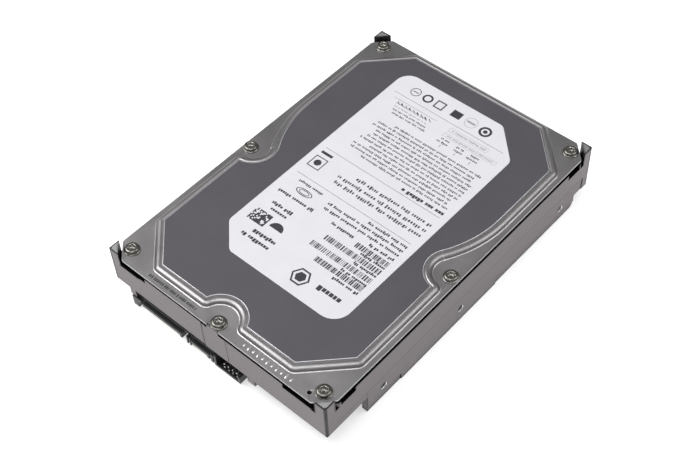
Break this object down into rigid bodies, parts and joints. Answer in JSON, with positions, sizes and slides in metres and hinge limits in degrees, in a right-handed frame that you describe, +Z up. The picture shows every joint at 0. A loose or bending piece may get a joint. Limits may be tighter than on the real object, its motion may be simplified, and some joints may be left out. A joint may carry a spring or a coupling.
{
  "type": "hard disk drive",
  "caption": "Internal 3.5-inch hard disk drive with a cast base, stamped cover, spinning disc pack, swinging head stack and SATA connectors.",
  "frame": {"origin": "middle of the footprint, on the plane under the two side rails", "axes": "+X across the width, +Y along the length away from the connectors, +Z up through the cover"},
  "size_m": [0.1016, 0.147, 0.0261],
  "materials": {
    "cast_aluminium": "as-cast satin, painted-free",
    "stamped_steel": "satin plated sheet",
    "dark_sheet": "fine satin, blue-grey",
    "label_paper": "smooth semi-matt film",
    "nickel_fastener": "nickel plated",
    "gasket_rubber": "matt",
    "connector_plastic": "moulded, fine grain",
    "platter_mirror": "mirror polished",
    "machined_aluminium": "turned",
    "stainless": "satin",
    "copper_winding": "enamelled wire",
    "motor_lamination": "stacked sheet",
    "magnet_plating": "nickel plated",
    "polyimide_film": "amber film",
    "circuit_board": "solder mask",
    "chip_package": "moulded epoxy",
    "filter_fabric": "electrostatic felt",
    "foam": "open-cell foam"
  },
  "bodies": {
    "chassis": {"base_casting": "cast_aluminium", "cover_gasket": "gasket_rubber", "top_cover": "stamped_steel", "damping_plate": "dark_sheet", "drive_label": "label_paper", "motor_flange": "machined_aluminium", "stator_core": "motor_lamination", "pivot_shaft": "stainless", "flex_cable": "polyimide_film", "flex_bracket": "connector_plastic", "vcm_lower_yoke": "nickel_fastener", "vcm_upper_yoke": "nickel_fastener", "vcm_lower_magnet": "magnet_plating", "vcm_upper_magnet": "magnet_plating", "inner_crash_stop": "gasket_rubber", "outer_crash_stop": "gasket_rubber", "latch_pin": "stainless", "recirculation_filter": "filter_fabric", "breather_filter": "filter_fabric", "circuit_board": "circuit_board", "controller_chip": "chip_package", "motor_driver_chip": "chip_package", "cache_chip": "chip_package", "foam_pad": "foam", "sata_connector": "connector_plastic", "jumper_block": "connector_plastic", "cover_screw_1": "nickel_fastener", "cover_screw_2": "nickel_fastener", "cover_screw_3": "nickel_fastener", "cover_screw_4": "nickel_fastener", "cover_screw_5": "nickel_fastener", "cover_screw_6": "nickel_fastener", "cover_screw_7": "nickel_fastener", "board_screw_1": "nickel_fastener", "board_screw_2": "nickel_fastener", "board_screw_3": "nickel_fastener"},
    "spindle": {"motor_shaft": "stainless", "spindle_hub": "machined_aluminium", "rotor_magnet": "magnet_plating", "platter_1": "platter_mirror", "platter_2": "platter_mirror", "platter_3": "platter_mirror", "platter_spacer_1": "machined_aluminium", "platter_spacer_2": "machined_aluminium", "disk_clamp": "stainless", "clamp_screw_1": "nickel_fastener", "clamp_screw_2": "nickel_fastener", "clamp_screw_3": "nickel_fastener"},
    "head_stack": {"pivot_bearing": "nickel_fastener", "actuator_arm": "machined_aluminium", "voice_coil": "copper_winding", "coil_frame": "connector_plastic", "preamp_board": "polyimide_film", "head_suspension_1": "stainless", "head_suspension_2": "stainless", "head_suspension_3": "stainless", "head_suspension_4": "stainless", "head_suspension_5": "stainless", "head_suspension_6": "stainless"},
    "shock_latch": {"actuator_latch": "connector_plastic"}
  },
  "joints": [
    {"name": "spindle_spin", "type": "hinge", "parent": "chassis", "child": "spindle", "pos_m": [0, 0.0235, 0.0155], "axis": [0, 0, 1], "continuous": true},
    {"name": "head_stack_swing", "type": "hinge", "parent": "chassis", "child": "head_stack", "pos_m": [0.021, -0.0305, 0.0158], "axis": [0, 0, 1], "range_deg": [0, 29], "deforming": ["flex_cable"]},
    {"name": "shock_latch_swing", "type": "hinge", "parent": "chassis", "child": "shock_latch", "pos_m": [0.015, -0.0575, 0.0163], "axis": [0, 0, 1], "range_deg": [0, 12], "stiffness_Nm_per_rad": 0.0001}
  ]
}
